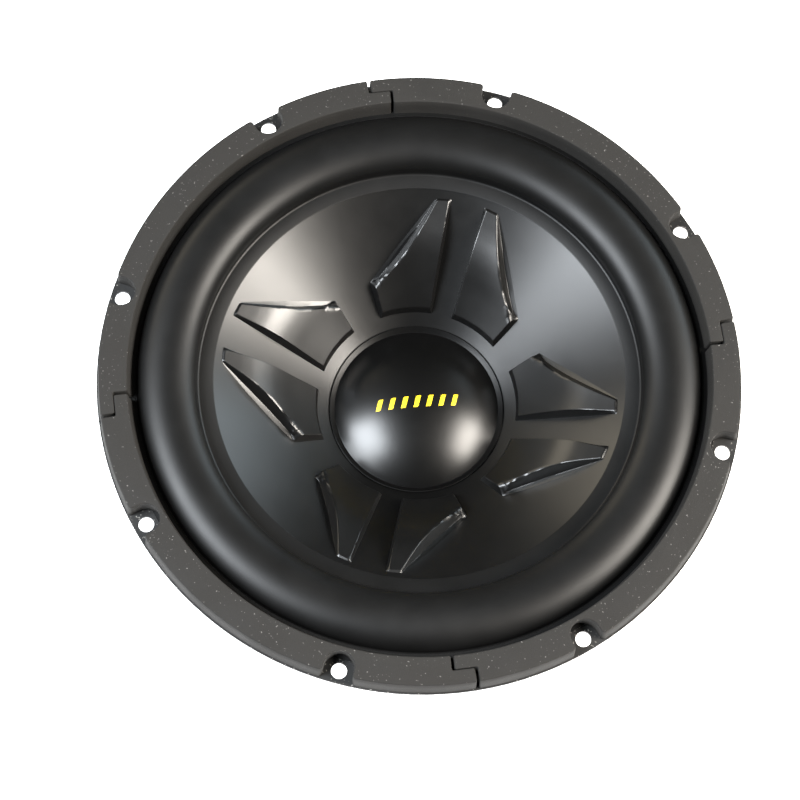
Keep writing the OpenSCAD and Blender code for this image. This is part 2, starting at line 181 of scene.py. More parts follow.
def gridFaces(rows, columns, wrapRows, wrapColumns, first=0):
    # quads between neighbours (i, j), (i+1, j), (i+1, j+1), (i, j+1) of a grid
    index = np.arange(rows * columns).reshape(rows, columns) + first
    right, down = np.roll(index, -1, 1), np.roll(index, -1, 0)
    quads = np.stack([index, down, np.roll(down, -1, 1), right], axis=-1)
    quads = quads[: rows if wrapRows else rows - 1, : columns if wrapColumns else columns - 1]
    return quads.reshape(-1, 4)


def meshFrom(name, grids, weld=0.002):
    # grids are (points[rows, columns, 3] in millimetres, wrapRows, wrapColumns), welded into closed shells
    vertices, quads, count = [], [], 0
    for points, wrapRows, wrapColumns in grids:
        rows, columns = points.shape[:2]
        vertices.append(points.reshape(-1, 3))
        quads.append(gridFaces(rows, columns, wrapRows, wrapColumns, count))
        count += rows * columns
    vertices, quads = np.concatenate(vertices) * mm, np.concatenate(quads)
    mesh = bpy.data.meshes.new(name)
    mesh.vertices.add(count)
    mesh.vertices.foreach_set("co", vertices.astype(np.float32).ravel())
    mesh.loops.add(quads.size)
    mesh.loops.foreach_set("vertex_index", quads.astype(np.int32).ravel())
    mesh.polygons.add(len(quads))
    mesh.polygons.foreach_set("loop_start", np.arange(0, quads.size, 4, dtype=np.int32))
    mesh.update(calc_edges=True)
    work = bmesh.new()
    work.from_mesh(mesh)
    bmesh.ops.remove_doubles(work, verts=work.verts, dist=weld * mm)
    bmesh.ops.delete(work, geom=[e for e in work.edges if not e.link_faces], context="EDGES")
    bmesh.ops.recalc_face_normals(work, faces=work.faces)
    work.to_mesh(mesh)
    work.free()
    mesh.polygons.foreach_set("use_smooth", np.ones(len(mesh.polygons), bool))
    return mesh


def addPiece(name, mesh, body, material, replaced=(), sharp=None):
    # puts a mesh in the scene as a piece of the speaker
    piece = bpy.data.objects.new(name, mesh)
    bpy.context.scene.collection.objects.link(piece)
    mesh.materials.append(material)
    if sharp:
        mesh.set_sharp_from_angle(angle=math.radians(sharp))
    if body:
        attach(piece, body)
    if replaced:
        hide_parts(*replaced)
    return piece


def lathe(profile, segments, wrapProfile=True):
    # profile (r, z) turned about Z: (r cos a, r sin a, z)
    profile = np.array(profile, float)
    a = np.linspace(0, 2 * np.pi, segments, endpoint=False)[:, None]
    r, z = profile[:, 0][None], profile[:, 1][None]
    return np.stack([r * np.cos(a), r * np.sin(a), z + 0 * a], axis=-1), True, wrapProfile


def smoothStep(t):
    t = np.clip(t, 0, 1)
    return t * t * (3 - 2 * t)


def tubeGrid(path, radius, sides=8):
    # circle of the given radius carried along a path, closed by a point at each end
    path = np.array(path, float)
    run = np.gradient(path, axis=0)
    run /= np.linalg.norm(run, axis=1)[:, None]
    lead = np.cross(run, [0.31, 0.17, 0.93])
    lead /= np.linalg.norm(lead, axis=1)[:, None]
    side = np.cross(run, lead)
    a = np.linspace(0, 2 * np.pi, sides, endpoint=False)[None, :, None]
    ring = path[:, None] + radius * (np.cos(a) * lead[:, None] + np.sin(a) * side[:, None])
    ends = [np.repeat(path[k][None, None], sides, axis=1) for k in (0, -1)]
    return np.concatenate([ends[0], ring, ends[1]]), False, True


def curveThrough(points, count):
    # Catmull-Rom curve through the points, at even steps of its parameter
    points = np.array(points, float)
    p = np.concatenate([2 * points[:1] - points[1:2], points, 2 * points[-1:] - points[-2:-1]])
    u = np.linspace(0, len(points) - 1 - 1e-9, count)
    k, t = u.astype(int), (u % 1)[:, None]
    a, b, c, d = p[k], p[k + 1], p[k + 2], p[k + 3]
    return 0.5 * (2 * b + (c - a) * t + (2 * a - 5 * b + 4 * c - d) * t**2 + (3 * b - a - 3 * c + d) * t**3)


def bevelledCopy(name, node, body, material, width, segments=3, sharp=35):
    # the CAD node's own shape, merged, with its flat faces joined and its edges rounded
    source = bpy.data.objects[node].data
    work = bmesh.new()
    work.from_mesh(source)
    bmesh.ops.remove_doubles(work, verts=work.verts, dist=1e-6)
    bmesh.ops.dissolve_limit(work, angle_limit=math.radians(0.5), verts=work.verts, edges=work.edges)
    mesh = bpy.data.meshes.new(name)
    work.to_mesh(mesh)
    work.free()
    mesh.polygons.foreach_set("use_smooth", np.ones(len(mesh.polygons), bool))
    piece = addPiece(name, mesh, body, material, (node,), sharp)
    bevel = piece.modifiers.new("bevel", "BEVEL")
    bevel.width = width * mm
    bevel.segments = segments
    bevel.limit_method = "ANGLE"
    bevel.angle_limit = math.radians(40)
    return piece


# material tools
def groupOf(name, inputs, outputs):
    # new shader node group with named sockets: inputs {name: default}, outputs [names]
    group = bpy.data.node_groups.new(name, "ShaderNodeTree")
    for key, value in inputs.items():
        kind = "NodeSocketVector" if value is None else "NodeSocketFloat"
        socket = group.interface.new_socket(name=key, in_out="INPUT", socket_type=kind)
        if value is not None:
            socket.default_value = value
    for key in outputs:
        group.interface.new_socket(name=key, in_out="OUTPUT", socket_type="NodeSocketFloat")
    return group, group.nodes.new("NodeGroupInput"), group.nodes.new("NodeGroupOutput")


def mathNode(tree, operation, a, b=None):
    # a math node with sockets or numbers at its inputs
    node = tree.nodes.new("ShaderNodeMath")
    node.operation = operation
    for socket, value in zip(node.inputs, (a, b)):
        if value is None:
            continue
        if isinstance(value, (int, float)):
            socket.default_value = value
        else:
            tree.links.new(value, socket)
    return node.outputs[0]


def noiseNode(tree, vector, scale, detail=3.0, roughness=0.55):
    node = tree.nodes.new("ShaderNodeTexNoise")
    tree.links.new(vector, node.inputs["Vector"])
    if isinstance(scale, (int, float)):
        node.inputs["Scale"].default_value = scale
    else:
        tree.links.new(scale, node.inputs["Scale"])
    node.inputs["Detail"].default_value = detail
    node.inputs["Roughness"].default_value = roughness
    return node.outputs["Fac"]


def makeGrainGroup():
    # Height: fine grain with a coarser one under it. Mottle: slow cloudiness, 0 to 1.
    inputs = {"Vector": None, "Scale": 1500.0, "Coarse": 0.4}
    group, source, sink = groupOf("surfaceGrain", inputs, ["Height", "Mottle"])
    fine = noiseNode(group, source.outputs["Vector"], source.outputs["Scale"], 2)
    coarseScale = mathNode(group, "MULTIPLY", source.outputs["Scale"], 0.23)
    coarse = noiseNode(group, source.outputs["Vector"], coarseScale, 2)
    weighted = mathNode(group, "MULTIPLY", coarse, source.outputs["Coarse"])
    group.links.new(mathNode(group, "ADD", fine, weighted), sink.inputs["Height"])
    slow = mathNode(group, "MULTIPLY", source.outputs["Scale"], 0.018)
    group.links.new(noiseNode(group, source.outputs["Vector"], slow, 4), sink.inputs["Mottle"])
    return group


def makeDustGroup():
    # Mask: scattered specks of dust, more of them where Amount is higher, on faces that look up
    group, source, sink = groupOf("dustSpecks", {"Vector": None, "Scale": 900.0, "Amount": 0.3}, ["Mask"])
    specks = noiseNode(group, source.outputs["Vector"], source.outputs["Scale"], 1)
    patches = noiseNode(group, source.outputs["Vector"], 24.0, 3)
    level = mathNode(group, "SUBTRACT", 0.80, mathNode(group, "MULTIPLY", source.outputs["Amount"], 0.25))
    both = mathNode(group, "ADD", specks, mathNode(group, "MULTIPLY", patches, 0.12))
    over = mathNode(group, "SUBTRACT", both, level)
    sharp = group.nodes.new("ShaderNodeMath")
    sharp.operation = "MULTIPLY"
    sharp.use_clamp = True
    sharp.inputs[1].default_value = 14.0
    group.links.new(over, sharp.inputs[0])
    normal = group.nodes.new("ShaderNodeNewGeometry")
    split = group.nodes.new("ShaderNodeSeparateXYZ")
    group.links.new(normal.outputs["Normal"], split.inputs[0])
    up = group.nodes.new("ShaderNodeMath")
    up.operation = "MULTIPLY"
    up.use_clamp = True
    up.inputs[1].default_value = 1.4
    group.links.new(split.outputs["Z"], up.inputs[0])
    group.links.new(mathNode(group, "MULTIPLY", sharp.outputs[0], up.outputs[0]), sink.inputs["Mask"])
    return group


grainGroup = makeGrainGroup()
dustGroup = makeDustGroup()


def finishOf(name, look):
    # Principled material: two close colours mottled together, grain as bump and roughness, specks of dust.
    # look: dark, light (colours), rough (low, high), grain (scale, depth in mm),
    # and if wanted coarse, dust, dustColour, metal, specular
    material = bpy.data.materials.new(name)
    material.use_nodes = True
    tree = material.node_tree
    shader = tree.nodes["Principled BSDF"]
    place = tree.nodes.new("ShaderNodeTexCoord").outputs["Object"]
    grain = tree.nodes.new("ShaderNodeGroup")
    grain.node_tree = grainGroup
    tree.links.new(place, grain.inputs["Vector"])
    grain.inputs["Scale"].default_value = look["grain"][0]
    grain.inputs["Coarse"].default_value = look.get("coarse", 0.4)
    colour = tree.nodes.new("ShaderNodeMix")
    colour.data_type = "RGBA"
    tree.links.new(grain.outputs["Mottle"], colour.inputs["Factor"])
    colour.inputs["A"].default_value = (*look["dark"], 1)
    colour.inputs["B"].default_value = (*look["light"], 1)
    base = colour.outputs["Result"]
    if look.get("dust"):
        dust = tree.nodes.new("ShaderNodeGroup")
        dust.node_tree = dustGroup
        tree.links.new(place, dust.inputs["Vector"])
        dust.inputs["Amount"].default_value = look["dust"]
        dusty = tree.nodes.new("ShaderNodeMix")
        dusty.data_type = "RGBA"
        tree.links.new(dust.outputs["Mask"], dusty.inputs["Factor"])
        tree.links.new(base, dusty.inputs["A"])
        dusty.inputs["B"].default_value = (*look.get("dustColour", (0.25, 0.24, 0.22)), 1)
        base = dusty.outputs["Result"]
    tree.links.new(base, shader.inputs["Base Color"])
    spread = tree.nodes.new("ShaderNodeMapRange")
    tree.links.new(grain.outputs["Mottle"], spread.inputs["Value"])
    spread.inputs["From Min"].default_value = 0.3
    spread.inputs["From Max"].default_value = 0.7
    spread.inputs["To Min"].default_value = look["rough"][0]
    spread.inputs["To Max"].default_value = look["rough"][1]
    tree.links.new(spread.outputs["Result"], shader.inputs["Roughness"])
    bump = tree.nodes.new("ShaderNodeBump")
    bump.inputs["Distance"].default_value = look["grain"][1] * mm
    bump.inputs["Strength"].default_value = 1.0
    tree.links.new(grain.outputs["Height"], bump.inputs["Height"])
    tree.links.new(bump.outputs["Normal"], shader.inputs["Normal"])
    shader.inputs["Metallic"].default_value = look.get("metal", 0.0)
    shader.inputs["Specular IOR Level"].default_value = look.get("specular", 0.5)
    return material


looks = {
    "gasketRubber": {"dark": (0.0080, 0.0073, 0.0065), "light": (0.0135, 0.0124, 0.0110),
                     "rough": (0.72, 0.86), "grain": (1900, 0.10), "coarse": 0.8, "dust": 0.12,
                     "dustColour": (0.11, 0.105, 0.10), "specular": 0.35},
    "surroundRubber": {"dark": (0.0018, 0.0018, 0.0018), "light": (0.0032, 0.0032, 0.0032),
                       "rough": (0.42, 0.47), "grain": (2600, 0.02), "coarse": 0.3, "specular": 0.30},
    "conePlastic": {"dark": (0.0014, 0.0014, 0.0014), "light": (0.0026, 0.0026, 0.0026),
                    "rough": (0.33, 0.37), "grain": (2600, 0.012), "coarse": 0.3, "specular": 0.62},
    "capPlastic": {"dark": (0.0010, 0.0010, 0.0010), "light": (0.0018, 0.0018, 0.0018), "rough": (0.30, 0.33),
                   "grain": (2400, 0.010), "coarse": 0.3, "specular": 0.50},
    "stripePaint": {"dark": (0.80, 0.56, 0.006), "light": (0.90, 0.66, 0.012), "rough": (0.45, 0.55),
                    "grain": (2500, 0.01)},
    "blackPaint": {"dark": (0.010, 0.010, 0.010), "light": (0.020, 0.020, 0.020), "rough": (0.34, 0.5),
                   "grain": (700, 0.05), "coarse": 0.7, "dust": 0.25},
    "spiderCloth": {"dark": (0.36, 0.25, 0.10), "light": (0.50, 0.37, 0.17), "rough": (0.75, 0.9),
                    "grain": (1400, 0.25), "coarse": 0.4, "specular": 0.25},
    "zincSteel": {"dark": (0.50, 0.49, 0.45), "light": (0.66, 0.65, 0.61), "rough": (0.24, 0.42),
                  "grain": (900, 0.02), "coarse": 0.6, "metal": 1.0},
    "ferrite": {"dark": (0.035, 0.035, 0.037), "light": (0.060, 0.060, 0.062), "rough": (0.5, 0.7),
                "grain": (1200, 0.06), "coarse": 0.8},
    "bootRubber": {"dark": (0.014, 0.014, 0.014), "light": (0.026, 0.026, 0.026), "rough": (0.5, 0.66),
                   "grain": (1500, 0.05), "coarse": 0.6, "dust": 0.3},
    "screenPlastic": {"dark": (0.008, 0.008, 0.008), "light": (0.016, 0.016, 0.016), "rough": (0.5, 0.6),
                      "grain": (1600, 0.02)},
    "blockPlastic": {"dark": (0.012, 0.012, 0.012), "light": (0.022, 0.022, 0.022), "rough": (0.42, 0.55),
                     "grain": (1500, 0.04), "coarse": 0.6, "dust": 0.15},
    "redPlastic": {"dark": (0.42, 0.010, 0.010), "light": (0.52, 0.018, 0.014), "rough": (0.28, 0.38),
                   "grain": (1200, 0.02)},
    "blackPlastic": {"dark": (0.010, 0.010, 0.010), "light": (0.018, 0.018, 0.018), "rough": (0.28, 0.38),
                     "grain": (1200, 0.02)},
    "springSteel": {"dark": (0.55, 0.55, 0.55), "light": (0.68, 0.68, 0.67), "rough": (0.2, 0.32),
                    "grain": (3000, 0.01), "metal": 1.0},
    "tinnedBrass": {"dark": (0.62, 0.50, 0.26), "light": (0.76, 0.66, 0.42), "rough": (0.25, 0.4),
                    "grain": (1500, 0.02), "metal": 1.0},
    "tinselCopper": {"dark": (0.58, 0.30, 0.14), "light": (0.80, 0.48, 0.26), "rough": (0.3, 0.5),
                     "grain": (5000, 0.10), "coarse": 0.2, "metal": 1.0},
    "copperWire": {"dark": (0.52, 0.20, 0.08), "light": (0.66, 0.30, 0.13), "rough": (0.2, 0.34),
                   "grain": (1500, 0.02), "metal": 1.0},
    "formerSheet": {"dark": (0.10, 0.10, 0.10), "light": (0.14, 0.14, 0.14), "rough": (0.3, 0.4),
                    "grain": (1200, 0.02), "metal": 1.0},
    "kraftPaper": {"dark": (0.30, 0.17, 0.08), "light": (0.42, 0.26, 0.13), "rough": (0.7, 0.85),
                   "grain": (1800, 0.06), "coarse": 0.7},
    "solder": {"dark": (0.58, 0.58, 0.60), "light": (0.72, 0.72, 0.73), "rough": (0.3, 0.45),
               "grain": (1200, 0.04), "metal": 1.0},
}
finishes = {name: finishOf(name, look) for name, look in looks.items()}
print("finishes made:", len(finishes))


# trim gasket
gasketShape = {
    "topEdge": 0.6,  # rounding of the front edges
    "corner": 0.8,  # rounding of the joints' corners
    "mouth": 1.6,  # rounding where a bolt notch meets the outer wall
    "draft": 1.4,  # lean of the walls over the thickness
    "innerR": 140.5,
    "outerR": 154.0,
    "innerJoint": 20.3,  # angles of a stepped joint's two halves
    "outerJoint": 24.4,
    "gap": 1.4,
    "stepGap": 0.3,
    "boltR": 150.0,
    "notchW": 14.4,
}


def ringPoint(r, degrees):
    a = np.radians(degrees)
    return np.stack([r * np.cos(a), r * np.sin(a)], axis=-1)


def arcOf(r, first, last, step=3.6):
    # points on a circle about the axis, both ends included
    count = max(2, int(abs(math.radians(last - first)) * r / step) + 1)
    return ringPoint(r, np.linspace(first, last, count))


def gasketOutline(s):
    # one quarter seen from the front, counter-clockwise, with a corner radius for each point
    middle = (s["innerR"] + s["outerR"]) / 2
    slack = math.degrees(math.asin(s["gap"] / 2 / middle))
    a0, b0 = s["innerJoint"] + slack, s["outerJoint"] + slack
    a1, b1 = s["innerJoint"] + 90 - slack, s["outerJoint"] + 90 - slack
    low, high = middle - s["stepGap"] / 2, middle + s["stepGap"] / 2
    half = s["notchW"] / 2
    mouthTurn = math.degrees(math.asin(half / s["outerR"]))
    points, radii = [], []

    def add(line, radius=0.0):
        line = np.atleast_2d(line)
        points.append(line)
        values = np.zeros(len(line))
        if radius:
            values[:] = radius
        radii.append(values)

    add(ringPoint(s["innerR"], a0), s["corner"])
    add(ringPoint(low, a0), s["corner"])
    add(ringPoint(low, b0), s["corner"])
    add(ringPoint(s["outerR"], b0), s["corner"])
    start = b0
    for turn in (45.0, 90.0):
        add(arcOf(s["outerR"], start, turn - mouthTurn)[1:-1])
        add(ringPoint(s["outerR"], turn - mouthTurn), s["mouth"])
        c, n = ringPoint(1, turn), ringPoint(1, turn + 90)
        a = np.linspace(-90, -270, 13)[:, None]
        curve = s["boltR"] * c + half * (np.cos(np.radians(a)) * c + np.sin(np.radians(a)) * n)
        add(curve)
        add(ringPoint(s["outerR"], turn + mouthTurn), s["mouth"])
        start = turn + mouthTurn
    add(arcOf(s["outerR"], start, b1)[1:-1])
    add(ringPoint(s["outerR"], b1), s["corner"])
    add(ringPoint(high, b1), s["corner"])
    add(ringPoint(high, a1), s["corner"])
    add(ringPoint(s["innerR"], a1), s["corner"])
    add(arcOf(s["innerR"], a1, a0)[1:-1])
    return rounded(np.concatenate(points), np.concatenate(radii), 4)


def loft(outline, normals, levels):
    # rings of an outline: each level moves it along its normals by an inset and puts it at a height
    rings = [np.concatenate([outline - normals * inset + push, np.full((len(outline), 1), z)], axis=1)
             for inset, push, z in levels]
    return np.stack(rings), False, True


def capped(mesh):
    # closes the open ends of a loft with flat faces, and sets all faces outwards
    work = bmesh.new()
    work.from_mesh(mesh)
    bmesh.ops.holes_fill(work, edges=[e for e in work.edges if e.is_boundary], sides=0)
    bmesh.ops.recalc_face_normals(work, faces=work.faces)
    work.to_mesh(mesh)
    work.free()
    mesh.polygons.foreach_set("use_smooth", np.ones(len(mesh.polygons), bool))
    return mesh


def makeGasket(s):
    outline = gasketOutline(s)
    normals = outward(outline)
    r = np.linalg.norm(outline, axis=1)[:, None]
    lean = np.clip((r - s["boltR"]) / (s["outerR"] - s["boltR"]), 0, 1) - np.clip(
        (s["innerR"] + 4 - r) / 4, 0, 1)
    push = outline / r * lean * s["draft"]
    bottom, top = corners("gasket_segment_1")[0][2], corners("gasket_segment_1")[1][2]
    e = s["topEdge"]
    levels = [(0, push, bottom)]
    levels += [(0, push * (1 - t), bottom + (top - bottom) * t) for t in (0.3, 0.6, 1 - e / (top - bottom))]
    rounding = np.radians([15, 30, 45, 60, 75, 90])
    levels += [(e * (1 - math.cos(a)), 0, top - e + e * math.sin(a)) for a in rounding]
    for k in range(4):
        name = "gasketSegment%d" % (k + 1)
        mesh = meshFrom(name, [loft(outline, normals, levels)])
        mesh.transform(Matrix.Rotation(math.pi / 2 * k, 4, "Z"))
        addPiece(name, capped(mesh), "frame", finishes["gasketRubber"],
                 ("gasket_segment_%d" % (k + 1),), 50)


makeGasket(gasketShape)
print("gasket made")


# surround
surroundShape = {
    "lipIn": 100.0,
    "rollIn": 108.0,
    "rollOut": 136.5,
    "lipOut": 144.5,
    "rise": 10.0,
    "thickness": 1.0,
    "segments": 240,
}


def bendingMesh(mesh):
    # a ring put in the scene and laid out flat for a moment, with the radius along X, while its transform is
    # baked in; then its own shape is put back
    piece = bpy.data.objects.new(mesh.name, mesh)
    bpy.context.scene.collection.objects.link(piece)
    co = np.empty(len(mesh.vertices) * 3, np.float32)
    mesh.vertices.foreach_get("co", co)
    flat = co.reshape(-1, 3).copy()
    flat[:, 0] = np.linalg.norm(flat[:, :2], axis=1)
    flat[:, 1:] = 0
    mesh.vertices.foreach_set("co", flat.ravel())
    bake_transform(piece)
    mesh.vertices.foreach_set("co", co)
    mesh.update()
    return piece


def makeSurround(s):
    flangeTop = corners("surround")[0][2] + 5.0
    lipTop = corners("surround")[0][2] + s["thickness"]
    middle, half = (s["rollIn"] + s["rollOut"]) / 2, (s["rollOut"] - s["rollIn"]) / 2
    a = np.radians(np.linspace(180, 0, 49))[1:-1]
    roll = np.stack([middle + half * np.cos(a), flangeTop + s["rise"] * np.sin(a)], axis=1)
    line = [[s["lipIn"], lipTop - 0.35], [s["lipIn"] + 0.4, lipTop], [s["rollIn"] - 1.2, lipTop],
            [s["rollIn"] - 0.35, lipTop + 0.35], [s["rollIn"], lipTop + 1.2], [s["rollIn"], flangeTop - 1]]
    after = [[s["rollOut"], flangeTop + 1.7], [s["rollOut"] + 0.3, flangeTop + 1.15],
             [s["rollOut"] + 0.9, flangeTop + 1], [s["lipOut"], flangeTop + 1]]
    profile = thickened(np.concatenate([line, roll, after]), s["thickness"])
    mesh = meshFrom("surroundRoll", [lathe(profile, s["segments"])])
    piece = bendingMesh(mesh)
    mesh.materials.append(finishes["surroundRubber"])
    mesh.set_sharp_from_angle(angle=math.radians(60))
    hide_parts("surround")


makeSurround(surroundShape)
print("surround made")


# cone and blades
coneShape = {
    "rimR": 107.0,
    "edgeR": 100.0,
    "neckR": 26.5,
    "neckZ": -65.4,
    "edgeZ": -3.9,
    "wall": 1.825,  # measured along Z
    "segments": 288,
}
bladeShape = {
    "innerR": 50.0,
    "nearAngle": 5.74,  # inner arc, from the middle of the pair
    "farAngle": 36.4,
    "corner": (53.0, 38.8),
    "endOut": (95.6, 16.2),
    "endIn": (97.2, 8.4),
    "bulge": 0.8,  # how far the long side stands out at its middle
    # height of the face over the cone, by distance from the axis
    "face": [(47, 4.4), (50, 5.0), (60, 7.0), (68, 8.6), (74, 9.0), (80, 8.1), (86, 5.9), (92, 3.2),
             (98, 0.5), (101, 0.1)],
    # width of the long side's wall, from its corner to its outer end
    "longRun": (3.9, 6.0, 6.5, 5.6, 3.6, 0.9),
    "wallBreak": (0.42, 0.08),  # where that wall turns steep: share of its width, share of its height
    "shortRun": 1.3,
    "pairRun": 1.1,
    "innerRun": 0.7,
    "endRun": 0.9,
    "edge": 1.2,  # softness of the top edges
    "sunk": 0.9,
    "evening": 5,  # passes that smooth the long side's top edge
}


def coneHeight(r):
    s = coneShape
    return s["neckZ"] + (s["edgeZ"] - s["neckZ"]) * (r - s["neckR"]) / (s["edgeR"] - s["neckR"])


def softMin(a, b, k):
    # lower of two heights, with a rounded turn between them
    h = np.clip(0.5 + 0.5 * (b - a) / k, 0, 1)
    return b + (a - b) * h - k * h * (1 - h)


def toLine(points, line):
    # distance from each point to a sampled line, and how far along the line its nearest place is
    a, b = line[:-1], line[1:]
    d = b - a
    rel = points[..., None, :] - a
    t = np.clip((rel * d).sum(-1) / (d * d).sum(-1), 0, 1)
    gap = np.linalg.norm(rel - t[..., None] * d, axis=-1)
    best = gap.argmin(-1)
    along = (best + np.take_along_axis(t, best[..., None], -1)[..., 0]) / len(d)
    return np.take_along_axis(gap, best[..., None], -1)[..., 0], along


def bladeFace(s, r):
    # height of the blade's face over the cone, by distance from the axis
    line = curveThrough(s["face"], 200)
    return np.interp(r, line[:, 0], line[:, 1])


def bladeGrid(s):
    # top: a grid across the outline, raised to the lowest of the face and the walls that start at its sides
    inner = ringPoint(s["innerR"], np.linspace(s["nearAngle"], s["farAngle"], 40))
    corner, end = np.array(s["corner"]), np.array(s["endOut"])
    u = np.linspace(0, 1, 40)[:, None]
    out = np.array([end[1] - corner[1], corner[0] - end[0]])
    out *= -s["bulge"] / np.linalg.norm(out)
    longSide = corner + (end - corner) * u + out * 4 * u * (1 - u)
    shortSide = inner[-1] + (corner - inner[-1]) * np.linspace(0, 1, 12)[:, None]
    far = np.concatenate([shortSide[:-1], longSide])
    pairEnd = np.array(s["endIn"])
    near = inner[0] + (pairEnd - inner[0]) * np.linspace(0, 1, 60)[:, None]
    outer = np.stack([pairEnd, end])

    def along(line, share):
        run = np.concatenate([[0], np.cumsum(np.linalg.norm(np.diff(line, axis=0), axis=1))])
        return np.stack([np.interp(share * run[-1], run, line[:, k]) for k in (0, 1)], axis=-1)

    steps = np.concatenate([np.arange(0, 3, 0.2), np.arange(3, 8, 0.4)])
    wallSteps = np.concatenate([np.arange(0, 3, 0.3), np.arange(3, 7.6, 0.16), [7.8]])
    runs = np.linspace(0, 1, len(s["longRun"]))
    length = np.linalg.norm(near[-1] - near[0])
    between = np.linspace(8.2, length - 8.2, 44)
    rows = np.concatenate([steps, between, length - steps[::-1]]) / length
    a, b = along(near, rows), along(far, rows)
    width = np.linalg.norm(b - a, axis=1)[:, None]
    squeeze = np.minimum(1, width / 17)
    follow = np.interp(toLine(b, longSide)[1], runs, s["longRun"])[:, None] / max(s["longRun"])
    middle = np.linspace(0, 1, 14)[1:-1][None]
    left, right = steps[None] * squeeze / width, 1 - wallSteps[::-1][None] * squeeze * follow / width
    v = np.concatenate([left, left[:, -1:] + (right[:, :1] - left[:, -1:]) * middle, right], axis=1)
    plan = a[:, None] + (b - a)[:, None] * v[..., None]
    arc = along(inner, v[0]) - plan[0]
    plan = plan + arc[None] * ((1 - rows) ** 3)[:, None, None]
    r = np.linalg.norm(plan, axis=-1)
    face = bladeFace(s, r)
    tall = np.maximum(face, 0.9)
    toLong, alongLong = toLine(plan, longSide)
    share = toLong / np.interp(alongLong, runs, s["longRun"])
    breakAt, breakHeight = s["wallBreak"]
    upper = breakHeight + (1 - breakHeight) * (share - breakAt) / (1 - breakAt)
    wall = -softMin(-share * breakHeight / breakAt, -upper, 0.03)
    height = softMin(face, tall * wall, s["edge"])
    others = ((shortSide, s["shortRun"]), (near, s["pairRun"]), (inner, s["innerRun"]), (outer, s["endRun"]))
    for line, run in others:
        height = softMin(height, toLine(plan, line)[0] / run * tall, s["edge"])
    # evens the long side's top edge out between neighbouring rows, fading in from the ends and from the face
    rowIndex, columnIndex = np.arange(len(rows)), np.arange(v.shape[1])
    fromEnd = np.minimum(rowIndex, rowIndex[::-1]) - len(steps) + 8
    fromFace = columnIndex - (v.shape[1] - len(wallSteps)) + 2
    amount = np.clip(fromEnd / 8, 0, 1)[:, None] * np.clip(fromFace / 6, 0, 1)
    for _ in range(s["evening"]):
        even = height.copy()
        even[1:-1] = (height[:-2] + 2 * height[1:-1] + height[2:]) / 4
        height = height + (even - height) * amount
    height[[0, -1]] = -s["sunk"]
    height[:, [0, -1]] = -s["sunk"]
    z = coneHeight(r)
    return np.concatenate([plan, (z + height)[..., None]], axis=-1)


def makeCone(s, b):
    thick = s["wall"]
    z = coneHeight
    top = [[s["neckR"], z(s["neckR"])], [s["edgeR"] - 0.05, z(s["edgeR"] - 0.05)],
           [s["edgeR"] + 0.6, z(s["edgeR"]) + 0.5], [s["rimR"], z(s["edgeR"]) + 0.5]]
    low = [[s["rimR"], z(s["edgeR"]) - 0.9], [s["edgeR"], z(s["edgeR"]) - thick],
           [s["neckR"], z(s["neckR"]) - thick], [25.35, z(s["neckR"]) - thick], [25.35, z(s["neckR"])]]
    profile = np.concatenate([dense(top, 3.0, False), low])
    grids = [lathe(profile, s["segments"])]
    blade = bladeGrid(b)
    for k in range(4):
        c, n = math.cos(math.pi / 2 * k), math.sin(math.pi / 2 * k)
        turn = np.array([[c, -n, 0], [n, c, 0], [0, 0, 1]])
        for side in (1, -1):
            grids.append(((blade * np.array([1, side, 1])) @ turn.T, False, False))
    mesh = capped(meshFrom("coneWithBlades", grids))
    addPiece("coneWithBlades", mesh, "cone", finishes["conePlastic"], ("cone",), 38)


makeCone(coneShape, bladeShape)
print("cone made")


# dust cap
capShape = {
    "domeR": 41.3,
    "rimR": 44.0,
    "height": 13.0,
    "thickness": 0.9,
    "rimLift": 1.17,
    "segments": 240,
}
stripeShape = {
    "count": 7,
    "turn": 19.7,  # direction of the row
    "length": 41.0,
    "tall": 6.6,
    "bar": 3.1,
    "lean": 2.2,  # shift of a bar's top along the row
    "lift": 0.05,
}


def domeHeight(r, s=capShape):
    base = coneHeight(s["domeR"]) + s["rimLift"]
    ball = (s["domeR"] ** 2 + s["height"] ** 2) / (2 * s["height"])
    return base - (ball - s["height"]) + np.sqrt(ball**2 - r**2)


def makeCap(s):
    r = s["domeR"] * np.sin(np.linspace(0, np.pi / 2, 40)) ** 0.9
    dome = np.stack([r, domeHeight(r)], axis=1)
    rim = [[s["domeR"] + 0.25, coneHeight(s["domeR"]) + s["rimLift"] + 0.02],
           [s["rimR"] - 0.3, coneHeight(s["rimR"] - 0.3) + s["rimLift"]],
           [s["rimR"], coneHeight(s["rimR"]) + s["rimLift"] - 0.3], [s["rimR"], coneHeight(s["rimR"]) + 0.02],
           [s["domeR"] - 0.8, coneHeight(s["domeR"] - 0.8) + 0.02]]
    inside = dome[-4::-1] - [0, s["thickness"]]
    mesh = meshFrom("dustCapDome", [lathe(np.concatenate([dome, rim, inside]), s["segments"])])
    addPiece("dustCapDome", mesh, "cone", finishes["capPlastic"], ("dust_cap",), 30)


